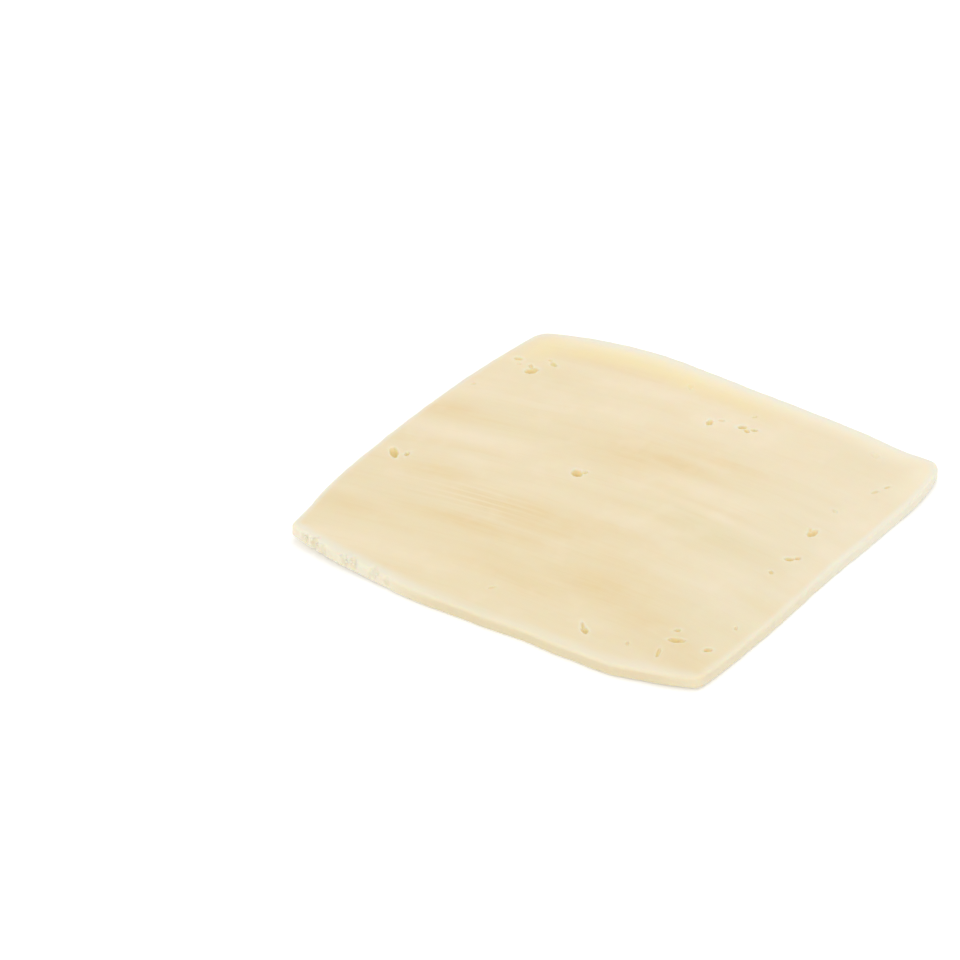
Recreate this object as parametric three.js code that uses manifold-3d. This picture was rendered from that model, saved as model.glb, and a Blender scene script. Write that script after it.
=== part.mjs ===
// A slice of semi-soft cheese, cut from a square loaf with no rind, lying on a table.
//
// Units are millimetres and +Z is up. +X runs along the streaks that the slicer leaves. The origin is
// the middle of the slice's bounding box, at the height of the table.
//
// The slice is one solid: a thin sheet whose four sides bow out, with rounded edges, with corners that
// curl up from the table, and with the small openings, called eyes, that gas and loose curd left in it.

import * as THREE from "three";
import { mergeVertices } from "three/addons/utils/BufferGeometryUtils.js";
import Module from "manifold-3d";

// Driving dimensions

const THICKNESS = 2.45;

// How far the rounding of the edge reaches in over the upper and the lower face.
const EDGE_ROUNDING = 1.15;

// Where the straight lines through the corners would meet, how far each corner is rounded off along its
// sides, and how high it curls. The curl starts at CURL_REACH from the corner.
const CURL_REACH = 46;
const CORNERS = {
  near_left: { x: -42.7, y: -43.9, rounding: 0.9, curl: 1.5 },
  near_right: { x: 44.9, y: -42.2, rounding: 1.2, curl: 0.5 },
  far_right: { x: 45.4, y: 42.3, rounding: 2.4, curl: 0.9 },
  far_left: { x: -43.7, y: 40.8, rounding: 2.4, curl: 0.4 },
};

// Each side runs from one corner to the next, counter-clockwise, and bows out by its bulge at its
// middle. A higher fullness makes the bow flatter there and steeper at the corners. A higher lean makes
// it fuller towards the end of the side.
const SIDES = [
  { from: "near_left", to: "near_right", bulge: 4.2, fullness: 3.6, lean: 0.3 },
  { from: "near_right", to: "far_right", bulge: 1.4, fullness: 6.0, lean: 0.5 },
  { from: "far_right", to: "far_left", bulge: 5.3, fullness: 3.0, lean: 0.6 },
  { from: "far_left", to: "near_left", bulge: 3.9, fullness: 2.2, lean: 0.1 },
];

// The eyes in the upper face: the middle of each, its length, width and depth, and the turn of its
// length from +X in degrees.
const EYES = [
  { x: -36.9, y: 27.6, length: 3.0, width: 1.9, depth: 1.2, turn: 64 },
  { x: -41.5, y: 29.9, length: 1.9, width: 1.2, depth: 0.6, turn: 15 },
  { x: -34.6, y: 31.9, length: 2.0, width: 1.1, depth: 0.6, turn: -20 },
  { x: 1.5, y: 31.1, length: 2.2, width: 1.3, depth: 0.8, turn: 110 },
  { x: 8.8, y: 32.9, length: 3.8, width: 1.5, depth: 1.0, turn: -8 },
  { x: 37.3, y: 9.0, length: 2.6, width: 1.7, depth: 1.1, turn: 75 },
  { x: 38.6, y: -0.3, length: 2.7, width: 1.4, depth: 0.9, turn: 35 },
  { x: -9.7, y: 2.0, length: 2.6, width: 2.0, depth: 1.3, turn: 120 },
  { x: -42.1, y: -11.4, length: 3.6, width: 1.7, depth: 1.2, turn: 128 },
  { x: 19.6, y: -40.6, length: 3.2, width: 1.4, depth: 1.0, turn: 140 },
  { x: 35.1, y: -34.6, length: 2.9, width: 1.5, depth: 1.1, turn: 25 },
  { x: 41.4, y: -34.0, length: 1.8, width: 1.4, depth: 0.8, turn: 60 },
];

// How finely the solid is faceted.
const POINTS_PER_SIDE = 24;
const POINTS_PER_CORNER = 4;
const RINGS = 9;
const EDGE_STEPS = 6;
const EYE_DETAIL = 1;

// Outline

// A point on a side, as a share from 0 to 1 of the way along it.
function pointOnSide(side, share) {
  const start = new THREE.Vector2(CORNERS[side.from].x, CORNERS[side.from].y);
  const end = new THREE.Vector2(CORNERS[side.to].x, CORNERS[side.to].y);
  const along = end.clone().sub(start);
  const outward = new THREE.Vector2(along.y, -along.x).normalize();
  const fromMiddle = 2 * share - 1;
  const bow = side.bulge * (1 - Math.abs(fromMiddle) ** side.fullness) * (1 + side.lean * fromMiddle);
  return start.addScaledVector(along, share).addScaledVector(outward, bow);
}

// The part of a side between the roundings of its two corners.
function pointsOfSide(side) {
  const first = CORNERS[side.from];
  const last = CORNERS[side.to];
  const length = Math.hypot(last.x - first.x, last.y - first.y);
  const low = first.rounding / length;
  const high = 1 - last.rounding / length;
  return Array.from({ length: POINTS_PER_SIDE + 1 }, (_, i) =>
    pointOnSide(side, low + ((high - low) * i) / POINTS_PER_SIDE),
  );
}

// The whole outline as a ring of points, moved so that its bounding box is centred on the origin.
function makeOutline() {
  const ring = [];
  SIDES.forEach((side, i) => {
    const points = pointsOfSide(side);
    const next = pointsOfSide(SIDES[(i + 1) % SIDES.length]);
    const corner = new THREE.Vector2(CORNERS[side.to].x, CORNERS[side.to].y);
    const rounding = new THREE.QuadraticBezierCurve(points.at(-1), corner, next[0]);
    ring.push(...points, ...rounding.getPoints(POINTS_PER_CORNER).slice(1, -1));
  });
  const middle = new THREE.Box2().setFromPoints(ring).getCenter(new THREE.Vector2());
  return ring.map((point) => point.sub(middle));
}

// Height of the sheet's underside above the table.
function curlAt(x, y) {
  return Object.values(CORNERS).reduce((height, corner) => {
    const closeness = Math.max(0, 1 - Math.hypot(x - corner.x, y - corner.y) / CURL_REACH);
    return height + corner.curl * closeness ** 2;
  }, 0);
}

// Sheet

// The section from the middle of the underside, round the edge, to the middle of the upper face.
// x is the reach from the middle, where 1 is the start of the edge's rounding and each part above 1 is
// a share of that rounding. y is the height above the underside.
function sheetSection() {
  const inner = Array.from({ length: RINGS + 1 }, (_, i) => i / RINGS);
  const half = THICKNESS / 2;
  const edge = Array.from({ length: EDGE_STEPS - 1 }, (_, i) => {
    const angle = -Math.PI / 2 + (Math.PI * (i + 1)) / EDGE_STEPS;
    return new THREE.Vector2(1 + Math.cos(angle), half + half * Math.sin(angle));
  });
  return [
    ...inner.map((reach) => new THREE.Vector2(reach, 0)),
    ...edge,
    ...inner.reverse().map((reach) => new THREE.Vector2(reach, THICKNESS)),
  ];
}

// A lathed disc of that section, with each spoke stretched to its point of the outline and bent up by
// the curl.
function makeSheetGeometry() {
  const outline = makeOutline();
  const section = sheetSection();
  const disc = new THREE.LatheGeometry(section, outline.length);
  const place = disc.getAttribute("position");
  for (let i = 0; i < place.count; i += 1) {
    const rim = outline[Math.floor(i / section.length) % outline.length];
    const { x: reach, y: height } = section[i % section.length];
    const inside = Math.min(reach, 1) * (rim.length() - EDGE_ROUNDING);
    const rounded = Math.max(reach - 1, 0) * EDGE_ROUNDING;
    const spot = rim.clone().setLength(inside + rounded);
    place.setXYZ(i, spot.x, spot.y, height + curlAt(spot.x, spot.y));
  }
  return disc;
}

// Eyes

// A lens-shaped cutter whose middle is on the upper face.
function makeEyeGeometry(eye) {
  const top = THICKNESS + curlAt(eye.x, eye.y);
  return new THREE.IcosahedronGeometry(1, EYE_DETAIL)
    .scale(eye.length / 2, eye.width / 2, eye.depth)
    .rotateZ(THREE.MathUtils.degToRad(eye.turn))
    .translate(eye.x, eye.y, top);
}

// Solids

const wasm = await Module();
wasm.setup();

// A closed three.js geometry as a solid that can be cut.
function solidOf(geometry) {
  const bare = geometry.clone();
  bare.deleteAttribute("normal");
  bare.deleteAttribute("uv");
  const merged = mergeVertices(bare, 1e-4);
  return new wasm.Manifold(
    new wasm.Mesh({
      numProp: 3,
      vertProperties: new Float32Array(merged.attributes.position.array),
      triVerts: new Uint32Array(merged.index.array),
    }),
  );
}

function geometryOf(solid) {
  const { vertProperties, triVerts } = solid.getMesh();
  const geometry = new THREE.BufferGeometry();
  geometry.setAttribute("position", new THREE.BufferAttribute(vertProperties, 3));
  geometry.setIndex(new THREE.BufferAttribute(triVerts, 1));
  geometry.computeVertexNormals();
  return geometry;
}

function makeSliceGeometry() {
  const sheet = solidOf(makeSheetGeometry());
  const slice = EYES.reduce((solid, eye) => solid.subtract(solidOf(makeEyeGeometry(eye))), sheet);
  return geometryOf(slice);
}

// Part

const cheese = new THREE.MeshStandardMaterial({ color: 0xf0e0bc, roughness: 0.45, metalness: 0 });

const slice = new THREE.Mesh(makeSliceGeometry(), cheese);
slice.name = "cheese_slice";

const part = new THREE.Group();
part.add(slice);

export default part;
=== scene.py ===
import math

import bpy
import numpy as np
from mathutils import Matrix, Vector
from mathutils.geometry import delaunay_2d_cdt


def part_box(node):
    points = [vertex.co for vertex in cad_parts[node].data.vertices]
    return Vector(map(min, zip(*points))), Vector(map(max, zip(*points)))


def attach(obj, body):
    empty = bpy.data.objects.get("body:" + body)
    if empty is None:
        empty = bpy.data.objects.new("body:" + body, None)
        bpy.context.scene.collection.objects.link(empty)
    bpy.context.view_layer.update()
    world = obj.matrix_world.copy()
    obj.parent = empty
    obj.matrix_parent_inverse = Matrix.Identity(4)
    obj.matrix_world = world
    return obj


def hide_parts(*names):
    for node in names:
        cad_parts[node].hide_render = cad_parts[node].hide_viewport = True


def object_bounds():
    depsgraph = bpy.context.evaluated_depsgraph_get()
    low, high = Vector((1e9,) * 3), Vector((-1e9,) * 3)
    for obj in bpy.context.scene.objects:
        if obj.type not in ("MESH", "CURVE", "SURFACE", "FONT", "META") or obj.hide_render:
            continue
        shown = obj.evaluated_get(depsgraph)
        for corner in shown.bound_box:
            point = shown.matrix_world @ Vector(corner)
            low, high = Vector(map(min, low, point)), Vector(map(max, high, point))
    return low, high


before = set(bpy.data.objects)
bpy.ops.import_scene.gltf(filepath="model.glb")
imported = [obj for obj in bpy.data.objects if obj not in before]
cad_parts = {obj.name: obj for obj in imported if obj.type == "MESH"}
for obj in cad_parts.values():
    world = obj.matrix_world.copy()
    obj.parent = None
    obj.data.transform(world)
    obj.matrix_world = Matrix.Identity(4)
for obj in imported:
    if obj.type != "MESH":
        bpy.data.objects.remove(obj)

bl_info = {
    "name": "Cheese Slice",
    "version": (1, 0, 0),
    "blender": (4, 5, 0),
    "location": "View3D > Sidebar > Cheese",
    "description": "Makes a thin slice of semi-soft cheese with eyes, streaks and a translucent edge",
    "category": "Add Mesh",
}

MM = 0.001
FULL_TURN = 6.28  # upper limit of the random turns, in radians
CAD_LOW, CAD_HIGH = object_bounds()
SLICE_LOW, SLICE_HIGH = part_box("cheese_slice")

# ----------------------------------------------------------
# The slice's shape, in millimetres. +X runs along the streaks that the slicer leaves.

# Where the straight lines through the corners would meet, how far each corner is rounded off along its
# sides, and how high it curls. The curl starts at CURL_REACH from the corner.
CURL_REACH = 46
CORNERS = {
    "near_left": {"x": -42.7, "y": -43.9, "rounding": 0.9, "curl": 1.5},
    "near_right": {"x": 44.9, "y": -42.2, "rounding": 1.2, "curl": 0.5},
    "far_right": {"x": 45.4, "y": 42.3, "rounding": 2.4, "curl": 0.9},
    "far_left": {"x": -43.7, "y": 40.8, "rounding": 2.4, "curl": 0.4},
}

# Each side runs from one corner to the next, counter-clockwise, and bows out by its bulge at its middle.
# A higher fullness makes the bow flatter there. A higher lean makes it fuller towards the side's end.
# The shoulder is the radius of its upper edge, and the rim is the width of the painted highlight strip along
# it.
SIDES = [
    {"from": "near_left", "to": "near_right", "bulge": 4.2, "fullness": 3.6, "lean": 0.3,
     "shoulder": 0.75, "rim": 3.2},
    {"from": "near_right", "to": "far_right", "bulge": 1.4, "fullness": 6.0, "lean": 0.5,
     "shoulder": 0.60, "rim": 1.5},
    {"from": "far_right", "to": "far_left", "bulge": 5.3, "fullness": 3.0, "lean": 0.6,
     "shoulder": 0.90, "rim": 3.0},
    {"from": "far_left", "to": "near_left", "bulge": 3.9, "fullness": 2.2, "lean": 0.1,
     "shoulder": 0.45, "rim": 1.4},
]

# Small bumps and hollows of the outline: x and y of the middle, how far it goes out, and its reach.
EDGE_BUMPS = [
    (28.5, -46.0, 0.6, 4.5),
    (10.5, -47.0, -0.5, 6.0),
    (-13.0, -47.0, 0.4, 6.0),
    (46.5, 0.0, -0.4, 12.0),
    (46.5, 32.0, 0.4, 7.0),
    (-19.0, 47.4, 0.5, 7.0),
    (36.0, 44.0, -0.4, 6.0),
    (-45.5, -38.0, -0.4, 5.0),
]
OUTLINE_WOBBLE = 0.05
NEAR_SIDE_BELOW = -30  # the near side is the part of the outline with a lower y

FOOT_RADIUS = 0.3
SHOULDER_VARIATION = 0.16  # share by which the shoulder radius varies round the outline
SAG, SAG_REACH = 0.20, 3.8  # drop of the upper face at its very edge, and how far in it begins

# The waves of the cut edge: height, wavelength, seed, and how they slant along X and Y with height.
WALL_WAVES = [
    (0.045, 2.6, 21, 0.0, 1.4),
    (0.030, 1.1, 22, 1.0, -1.0),
    (0.100, 11.0, 23, 0.0, 0.0),
]
WALL_PUSH = 0.12  # the most that they push a place out

# The eyes in the upper face: middle x and y, length, width, depth, and the turn of the length from +X in
# degrees. Neighbours that overlap make one eye with lobes.
TOP_EYES = [
    # far left corner
    (-36.9, 27.6, 3.0, 1.9, 1.2, 64),
    (-37.9, 28.9, 1.5, 1.0, 0.5, 150),
    (-41.5, 29.9, 1.9, 1.2, 0.6, 15),
    (-40.3, 28.4, 1.0, 0.6, 0.3, 40),
    (-34.6, 31.9, 2.0, 1.1, 0.6, -20),
    (-35.9, 32.8, 1.1, 0.7, 0.35, 10),
    (-43.6, 17.4, 1.2, 0.8, 0.25, 30),
    # far side
    (-8.3, 40.0, 2.0, 1.2, 0.22, 120),
    (1.5, 31.1, 2.2, 1.3, 0.8, 110),
    (3.0, 33.0, 1.5, 0.8, 0.4, 20),
    (7.6, 33.1, 1.9, 1.3, 0.9, 40),
    (9.0, 32.4, 1.5, 1.0, 0.7, -30),
    (10.1, 33.4, 1.6, 0.9, 0.8, 10),
    (7.7, 37.5, 1.2, 0.7, 0.3, 60),
    (33.9, 37.9, 2.6, 1.5, 0.22, -25),
    (41.3, 29.7, 1.5, 0.8, 0.45, 60),
    (40.2, 27.1, 1.8, 0.9, 0.4, 70),
    (37.1, 17.5, 1.4, 0.8, 0.25, -35),
    # middle
    (-9.7, 2.0, 2.6, 2.1, 1.3, 120),
    (-8.6, 3.1, 1.3, 1.0, 0.6, 30),
    (-42.2, -11.4, 3.7, 1.7, 1.2, 128),
    (-39.8, -10.5, 1.4, 1.0, 0.7, 100),
    (-1.5, -38.7, 1.5, 0.9, 0.25, 45),
    # right side
    (37.4, 9.0, 2.7, 1.7, 1.1, 75),
    (36.5, 9.8, 1.2, 0.7, 0.4, 120),
    (38.3, -0.7, 1.9, 1.3, 0.9, 40),
    (39.4, 0.3, 1.3, 1.0, 0.7, 60),
    (37.8, -6.3, 1.3, 0.9, 0.5, 130),
    (42.0, -25.3, 1.5, 0.6, 0.35, 115),
    # near right corner
    (19.9, -40.9, 2.1, 1.3, 1.0, 140),
    (18.8, -39.8, 2.2, 0.7, 0.6, 130),
    (33.7, -31.8, 1.3, 1.0, 0.6, 60),
    (35.1, -34.6, 2.9, 1.5, 1.1, 25),
    (36.3, -34.2, 1.2, 0.9, 0.5, 80),
    (41.5, -34.1, 1.7, 1.3, 0.8, 70),
    (34.6, -39.6, 3.0, 0.8, 0.5, 110),
    (28.5, -40.2, 1.5, 0.8, 0.3, 120),
]

# The eyes in the underside, in the same terms.
UNDER_EYES = [
    (-31.0, 21.5, 2.8, 1.6, 0.9, 30),
    (-28.8, 22.6, 1.4, 0.9, 0.5, 80),
    (12.5, 26.9, 2.2, 1.5, 0.9, 100),
    (33.2, 14.1, 3.1, 1.4, 1.0, 150),
    (-12.0, -6.8, 2.3, 1.9, 1.1, 15),
    (-13.9, -5.7, 1.2, 0.8, 0.4, 60),
    (24.6, -23.3, 2.6, 1.3, 0.8, 65),
    (26.4, -24.6, 1.3, 0.9, 0.6, 20),
    (-36.4, -28.0, 1.9, 1.3, 0.8, 140),
    (6.0, -36.7, 2.7, 1.2, 0.7, 10),
]

# An eye is a bowl with a ragged rim, and its section is one minus the distance to the first of BOWL_POWERS,
# all to the second. The low lip round it is full where the eye is LIP_FULL_DEPTH deep or more.
TOP_SEED, UNDER_SEED = 100, 300
RAGGEDNESS = 0.11
BOWL_POWERS = (2.2, 0.85)
LIP_OFFSET, LIP_WIDTH, LIP_HEIGHT = 0.25, 0.42, 0.035
LIP_FULL_DEPTH = 0.8

# The stretch of the near side where the curd has torn: the x of its ends, the height of the upper edge
# there, the pits in that edge as x, length, width and depth, and the ends of the groups of loose grains.
TORN_FROM, TORN_TO = -40.5, -17.0
TORN_TOP = 2.3
TORN_PITS = [
    (-38.9, 2.0, 1.1, 0.45),
    (-36.6, 2.2, 1.3, 0.75),
    (-34.3, 2.0, 1.2, 0.55),
    (-29.0, 1.8, 1.1, 0.55),
    (-27.0, 2.2, 1.2, 0.65),
    (-22.4, 2.4, 1.1, 0.50),
    (-19.0, 1.6, 0.9, 0.35),
]
CRUMB_GROUPS = [(-39.0, -34.2), (-29.6, -25.6), (-22.8, -20.6)]

# A pit's middle is set in from the outline and lies PIT_DROP below the torn edge, at random between the two.
# It gets the painted shade of an eye of PIT_EYE times its depth, and the painted highlight of a lip round
# it, PIT_LIP strong.
PIT_SEED = 71
PIT_SET_IN, PIT_REACH = 0.2, 0.9
PIT_DROP = (0.5, 1.5)
PIT_RAGGEDNESS = 0.18
PIT_EYE, PIT_LIP = 0.25, 0.6

# The lines that the grains lie along: height above the underside, how far they are set in, and the spacing
# of their points. The spread is how far a grain may stray from its line.
CRUMB_HEIGHT, CRUMB_SET_IN, CRUMB_SPACING = 1.7, 0.12, 0.5
CRUMB_SPREAD = (0.4 * MM, 0.05 * MM, 0.5 * MM)

# Points of the fine outline, how many its radii are smoothed over, and steps down the edge of the mesh.
SIDE_POINTS, CORNER_POINTS, OUTLINE_SMOOTHING = 700, 42, 90
SHOULDER_STEPS, WALL_STEPS, FOOT_STEPS = 8, 6, 5
# Spacings as shares of the mesh step, and how much closer they are where the edge is torn.
EDGE_STEP, UNDER_STEP, TORN_DENSITY = 0.9, 1.9, 2.4
# The fine points in and round the eyes: least and greatest spacing, how far they go past the rim, and the
# margin round the eye's length that they are picked from.
EYE_STEP_LEAST, EYE_STEP_MOST, EYE_MARGIN, EYE_PATCH = 0.15, 0.24, 1.1, 1.6
GRID_JITTER = 0.14


def side_points(side, count):
    """Points along one side, between the roundings of its two corners."""
    first, last = CORNERS[side["from"]], CORNERS[side["to"]]
    start, end = np.array([first["x"], first["y"]]), np.array([last["x"], last["y"]])
    along = end - start
    length = np.hypot(*along)
    outward = np.array([along[1], -along[0]]) / length
    share = np.linspace(first["rounding"] / length, 1 - last["rounding"] / length, count)[:, None]
    from_middle = 2 * share - 1
    bow = side["bulge"] * (1 - np.abs(from_middle) ** side["fullness"]) * (1 + side["lean"] * from_middle)
    return start + along * share + outward * bow


def dense_outline():
    """The whole outline as a fine closed ring, with the shoulder radius and rim width at each point."""
    ring, shoulders, rims = [], [], []
    for side, following in zip(SIDES, SIDES[1:] + SIDES[:1]):
        points, ahead = side_points(side, SIDE_POINTS), side_points(following, SIDE_POINTS)
        corner = np.array([CORNERS[side["to"]]["x"], CORNERS[side["to"]]["y"]])
        t = np.linspace(0, 1, CORNER_POINTS)[1:-1, None]
        rounding = (1 - t) ** 2 * points[-1] + 2 * t * (1 - t) * corner + t**2 * ahead[0]
        ring += [points, rounding]
        for values, key in ((shoulders, "shoulder"), (rims, "rim")):
            values += [np.full(len(points), side[key])]
            values += [np.linspace(side[key], following[key], len(rounding))]
    ring, shoulders, rims = (np.concatenate(parts) for parts in (ring, shoulders, rims))
    low, high = ring.min(0), ring.max(0)
    cad_low, cad_high = np.array(SLICE_LOW[:2]) / MM, np.array(SLICE_HIGH[:2]) / MM
    ring = (ring - (low + high) / 2) * (cad_high - cad_low) / (high - low) + (cad_low + cad_high) / 2
    out = OUTLINE_WOBBLE * slow_noise(ring[:, 0], ring[:, 1], seed=31, wavelength=5.0)
    for x, y, amount, reach in EDGE_BUMPS:
        out += amount * np.exp(-((ring[:, 0] - x) ** 2 + (ring[:, 1] - y) ** 2) / reach**2)
    ring = ring + outward_normals(ring) * out[:, None]
    return ring, circular_smooth(shoulders, OUTLINE_SMOOTHING), circular_smooth(rims, OUTLINE_SMOOTHING)


def outward_normals(ring):
    """Unit normals of a counter-clockwise ring of points."""
    tangent = np.roll(ring, -1, 0) - np.roll(ring, 1, 0)
    tangent /= np.hypot(*tangent.T)[:, None]
    return np.stack([tangent[:, 1], -tangent[:, 0]], 1)


def circular_smooth(values, reach):
    """Values round a ring, each averaged with its neighbours up to reach places away."""
    window = np.hanning(2 * reach + 3)[1:-1]
    wrapped = np.concatenate([values[-reach:], values, values[:reach]])
    return np.convolve(wrapped, window / window.sum(), "valid")


def curl_at(points):
    """Height of the sheet's underside above the table."""
    height = np.zeros(len(points))
    for corner in CORNERS.values():
        away = np.hypot(points[:, 0] - corner["x"], points[:, 1] - corner["y"])
        height += corner["curl"] * np.clip(1 - away / CURL_REACH, 0, None) ** 2
    return height


def nearest_edge(points, ring):
    """Distance of each point from the outline, negative outside it, and the nearest place of the ring."""
    nearest, place = np.empty(len(points)), np.empty(len(points), int)
    batch, every = 4000, 3
    coarse = ring[::every]
    for start in range(0, len(points), batch):
        part = slice(start, start + batch)
        gaps = np.hypot(points[part, None, 0] - coarse[:, 0], points[part, None, 1] - coarse[:, 1])
        nearest[part] = gaps.min(1)
        place[part] = gaps.argmin(1) * every
    angles = np.arctan2(ring[:, 1], ring[:, 0])
    order = np.argsort(angles)
    radius = np.interp(
        np.arctan2(points[:, 1], points[:, 0]),
        angles[order],
        np.hypot(ring[:, 0], ring[:, 1])[order],
        period=2 * math.pi,
    )
    return np.where(np.hypot(points[:, 0], points[:, 1]) < radius, nearest, -nearest), place


# ----------------------------------------------------------
# Eyes


def eye_distance(points, eye, seed):
    """How far each point is from an eye's middle, where 1 is its ragged rim."""
    x, y, length, width, _, turn = eye
    c, s = math.cos(math.radians(turn)), math.sin(math.radians(turn))
    dx, dy = points[:, 0] - x, points[:, 1] - y
    u, v = (dx * c + dy * s) / (length / 2), (dy * c - dx * s) / (width / 2)
    angle = np.arctan2(v, u)
    random = np.random.default_rng(seed)
    ragged = sum(
        random.uniform(0.3, 1.0) * np.sin(lobes * angle + random.uniform(0, FULL_TURN)) / lobes**0.6
        for lobes in (2, 3, 5, 7)
    )
    return np.hypot(u, v) / (1 + RAGGEDNESS * ragged)


def past_rim(points, eye, seed):
    """How far each point is outside an eye's rim, in millimetres, and negative inside it."""
    return (eye_distance(points, eye, seed) - 1) * (eye[2] + eye[3]) / 4


def eye_depths(points, eyes, first_seed):
    """Depth below the face, and how near each point is to a rim, from 0 to 1."""
    depth, lip = np.zeros(len(points)), np.zeros(len(points))
    for number, eye in enumerate(eyes):
        near = np.flatnonzero(np.hypot(points[:, 0] - eye[0], points[:, 1] - eye[1]) < eye[2] + 2.5)
        if not len(near):
            continue
        reach = eye_distance(points[near], eye, first_seed + number)
        bowl = np.clip(1 - np.clip(reach, 0, 1) ** BOWL_POWERS[0], 0, 1) ** BOWL_POWERS[1]
        depth[near] = np.maximum(depth[near], eye[4] * bowl)
        outside = (reach - 1) * (eye[2] + eye[3]) / 4
        strength = min(1.0, eye[4] / LIP_FULL_DEPTH)
        halo = np.exp(-((outside - LIP_OFFSET) / LIP_WIDTH) ** 2)
        # The lip also sets the painted highlight round the eye.
        lip[near] = np.maximum(lip[near], strength * halo)
    return depth, lip


def hex_grid(low, high, step):
    """Points of a triangular grid between two corners."""
    rows = np.arange(low[1], high[1], step * math.sqrt(0.75))
    columns = np.arange(low[0], high[0], step)
    x, y = np.meshgrid(columns, rows)
    x = x + (np.arange(len(rows)) % 2)[:, None] * step / 2
    return np.stack([x.ravel(), y.ravel()], 1)


def face_points(ring, eyes, first_seed, inset, step):
    """Points for one cut face: a triangular grid that is finer over and round each eye."""
    low, high = ring.min(0), ring.max(0)
    random = np.random.default_rng(first_seed)
    grid = hex_grid(low, high, step)
    grid += random.uniform(-GRID_JITTER, GRID_JITTER, grid.shape) * step
    kept = []
    taken = np.zeros(len(grid), bool)
    for number, eye in enumerate(eyes):
        fine = max(EYE_STEP_LEAST, min(EYE_STEP_MOST, eye[3] / 8))
        half = eye[2] / 2 + EYE_PATCH
        local = hex_grid((eye[0] - half, eye[1] - half), (eye[0] + half, eye[1] + half), fine)
        beyond = past_rim(local, eye, first_seed + number)
        # Further out from the rim, fewer of the fine points are kept.
        share = np.clip(1.0 - (beyond - 0.35) / 1.1, 0.12, 1)
        thin = random.uniform(size=len(local)) < share
        local = local[(beyond < EYE_MARGIN) & thin]
        for other in range(number):
            local = local[past_rim(local, eyes[other], first_seed + other) > EYE_MARGIN]
        kept.append(local)
        taken |= past_rim(grid, eye, first_seed + number) < EYE_MARGIN + step / 3
    points = np.concatenate([grid[~taken], *kept])
    return points[nearest_edge(points, ring)[0] > inset + 0.45 * step]


# ----------------------------------------------------------
# Mesh


def signed_areas(points, triangles):
    """Area of each triangle, negative where it is wound clockwise."""
    a, b, c = (points[triangles[:, k]] for k in range(3))
    return ((b[:, 0] - a[:, 0]) * (c[:, 1] - a[:, 1]) - (b[:, 1] - a[:, 1]) * (c[:, 0] - a[:, 0])) / 2


def triangulate(loop, inside):
    """Triangles over a closed loop and the points inside it, wound counter-clockwise."""
    points = np.concatenate([loop, inside])
    made = delaunay_2d_cdt([Vector(p) for p in points], [], [list(range(len(loop)))], 1, 1e-7, True)
    source = [ids[0] for ids in made[3]]
    triangles = np.array([[source[v] for v in face] for face in made[2]])
    # A triangle between three places of the loop that turns against the loop's own way lies outside it.
    on_loop = (triangles < len(loop)).all(1)
    against = signed_areas(points, np.sort(triangles, 1)) <= 0
    triangles = triangles[~(on_loop & against)]
    clockwise = signed_areas(points, triangles) < 0
    triangles[clockwise] = triangles[clockwise][:, ::-1]
    return points, triangles


def ring_columns(ring, shoulders, step):
    """Places round the outline, closer together where the edge is torn, with outward normals."""
    closed = np.vstack([ring, ring[:1]])
    length = np.concatenate([[0], np.cumsum(np.hypot(*np.diff(closed, axis=0).T))])
    near_side = closed[:, 1] < NEAR_SIDE_BELOW
    torn = (closed[:, 0] > TORN_FROM - 2) & (closed[:, 0] < TORN_TO + 2) & near_side
    weight = circular_smooth(np.where(torn, TORN_DENSITY, 1.0)[:-1], 30)
    weighted = np.concatenate([[0], np.cumsum(np.diff(length) * weight)])
    count = int(weighted[-1] / step)
    even = np.linspace(0, weighted[-1], count, endpoint=False)
    places = np.stack([np.interp(even, weighted, closed[:, k]) for k in range(2)], 1)
    return places, outward_normals(places), np.interp(even, weighted[:-1], shoulders)


def wall_section(thickness, shoulder):
    """The steps of the edge from below the upper face to above the underside: for each step, how far every
    place of the outline is set in, and its height. The shoulder is the radius at each place."""
    rows = []
    for k in range(1, SHOULDER_STEPS + 1):
        angle = math.pi / 2 * k / SHOULDER_STEPS
        inset = shoulder * (1 - math.sin(angle) ** 0.9)
        rows.append((inset, thickness - shoulder * (1 - math.cos(angle))))
    wall_top = thickness - shoulder
    for k in range(1, WALL_STEPS):
        rows.append((np.zeros_like(shoulder), wall_top + (FOOT_RADIUS - wall_top) * k / WALL_STEPS))
    for k in range(FOOT_STEPS - 1):
        angle = math.pi / 2 * k / FOOT_STEPS
        inset = np.full_like(shoulder, FOOT_RADIUS * (1 - math.cos(angle)))
        rows.append((inset, np.full_like(shoulder, FOOT_RADIUS * (1 - math.sin(angle)))))
    return rows


def rim_sag(distance):
    """How far the upper face drops towards its edge."""
    return SAG * np.clip(1 - distance / SAG_REACH, 0, 1) ** 2


def wall_waves(places, height, thickness):
    """How far the waves of the cut edge push it out at each place. They fade towards both faces."""
    x, y = places.T
    out = sum(
        amount * slow_noise(x + slant_x * height, y + slant_y * height, seed, wavelength)
        for amount, wavelength, seed, slant_x, slant_y in WALL_WAVES
    )
    fade = np.clip((thickness - height) / 0.6, 0, 1) * np.clip(height / 0.5, 0.3, 1)
    return np.minimum(out * fade, WALL_PUSH)


def slow_noise(x, y, seed, wavelength):
    """A smooth irregular wave over the plane, from about -1 to 1."""
    random = np.random.default_rng(seed)
    total = 0
    for _ in range(7):
        heading = random.uniform(0, 2 * math.pi)
        pitch = wavelength * random.uniform(0.6, 1.7)
        total = total + np.sin((x * math.cos(heading) + y * math.sin(heading)) * 2 * math.pi / pitch
                               + random.uniform(0, FULL_TURN))
    return total / 3.2


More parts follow.
